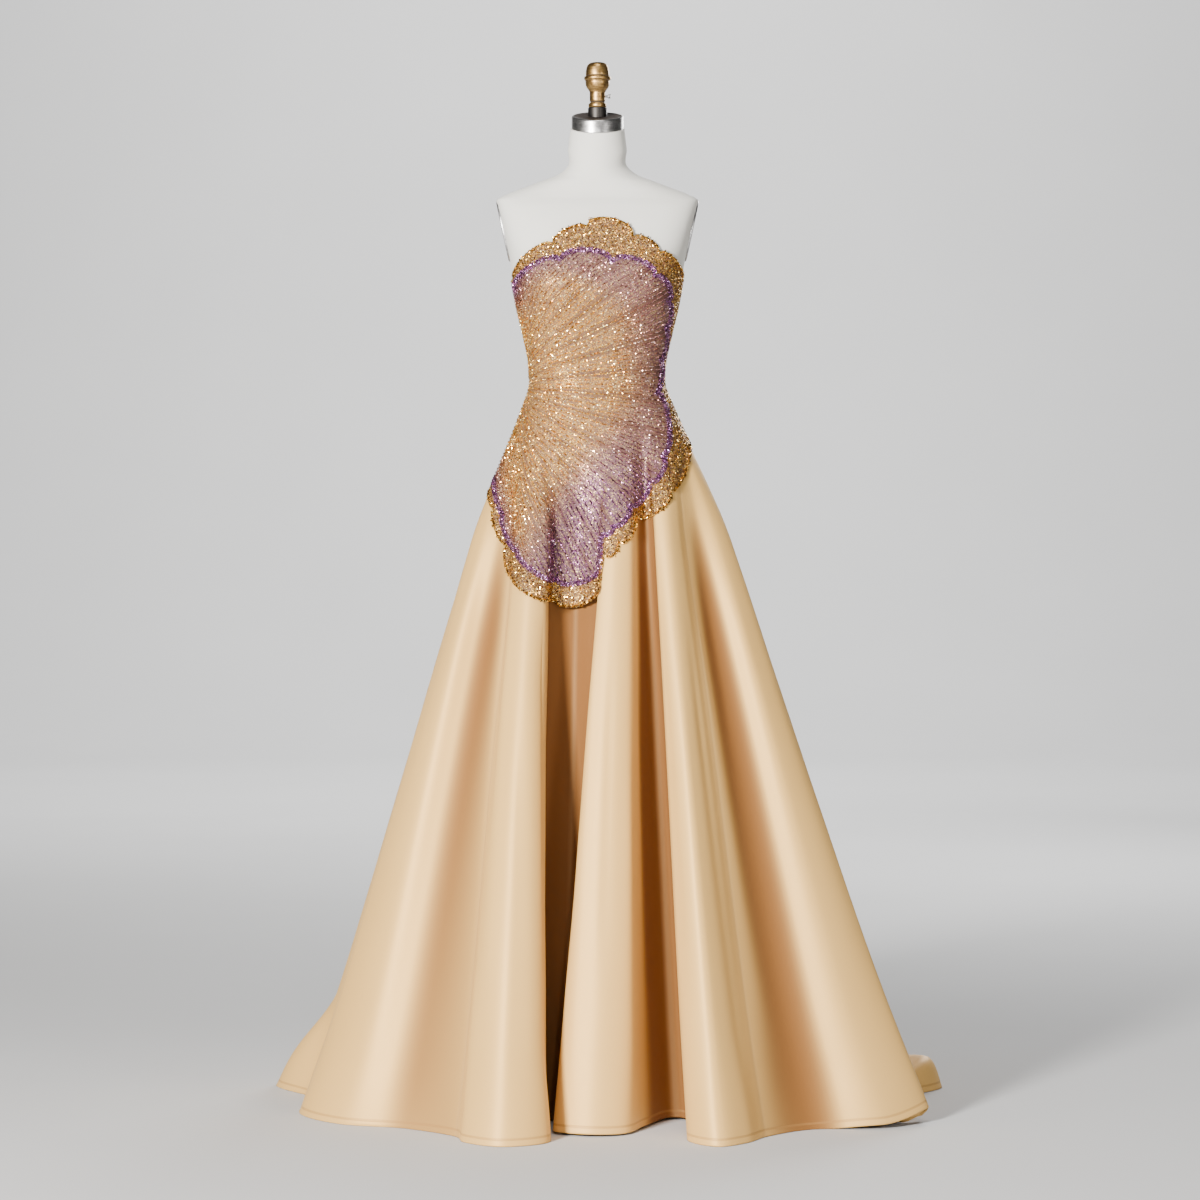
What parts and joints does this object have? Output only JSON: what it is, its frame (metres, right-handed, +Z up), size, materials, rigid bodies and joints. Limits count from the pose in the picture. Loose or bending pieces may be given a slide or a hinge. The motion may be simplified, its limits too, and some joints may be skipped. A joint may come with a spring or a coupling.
{
  "type": "a-line evening gown on dress form",
  "caption": "Strapless A-line evening gown with beaded scalloped bodice and sweep train, on a limbless dress form with round base.",
  "frame": {"origin": "centre of the underside of the form's round base, on the floor", "axes": "+Z up along the pole and the form; the front of the gown faces -Y and its train runs towards +Y"},
  "size_m": [1.225, 1.401, 1.865],
  "materials": {
    "satin": "champagne duchess satin, soft sheen",
    "beaded_lilac": "net with rows of small beads, lilac at the edges and gold in the middle",
    "beaded_gold": "net covered with gold sequins and beads",
    "form_cover": "off-white cotton cover, matt",
    "steel": "brushed",
    "aged_brass": "aged, satin",
    "dark_metal": "near-black, satin"
  },
  "bodies": {
    "root": {"gore_front_centre": "satin", "gore_front_left": "satin", "gore_front_right": "satin", "gore_side_left": "satin", "gore_side_right": "satin", "gore_rear_left": "satin", "gore_rear_right": "satin", "gore_back_left": "satin", "gore_back_right": "satin", "shell_panel": "beaded_lilac", "gold_border": "beaded_gold", "bodice_back_left": "beaded_gold", "bodice_back_right": "beaded_gold", "form_torso": "form_cover", "arm_plate_left": "steel", "arm_plate_right": "steel", "neck_cap": "steel", "finial_collar": "dark_metal", "finial": "aged_brass", "thumb_screw": "steel", "stand_pole": "steel", "stand_base": "dark_metal"}
  },
  "joints": []
}
